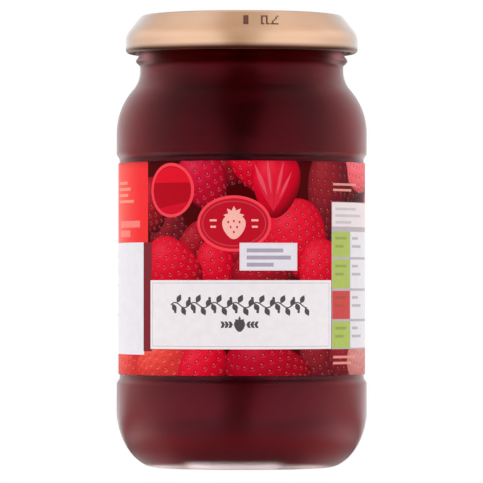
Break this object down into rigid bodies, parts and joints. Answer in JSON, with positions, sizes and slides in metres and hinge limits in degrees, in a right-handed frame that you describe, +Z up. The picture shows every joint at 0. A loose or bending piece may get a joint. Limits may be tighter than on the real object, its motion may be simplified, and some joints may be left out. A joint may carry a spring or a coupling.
{
  "type": "jam jar",
  "caption": "Round one-pound glass jar of strawberry jam with a gold twist-off lid and a wrap-round paper label in a sunk panel.",
  "frame": {"origin": "centre of the circle that the jar stands on, at the height of the surface under it", "axes": "+Z up along the jar's axis, -Y towards the middle of the label's front, +X to the right of the front"},
  "size_m": [0.072, 0.072, 0.13],
  "materials": {
    "clear_glass": "clear flint glass, smooth",
    "gold_lacquer": "satin gold lacquer on tinplate",
    "printed_paper": "coated paper, printed, soft gloss",
    "strawberry_jam": "dark red jam behind glass"
  },
  "bodies": {
    "root": {"glass_jar": "clear_glass", "lid": "gold_lacquer", "label": "printed_paper", "jam": "strawberry_jam"}
  },
  "joints": []
}
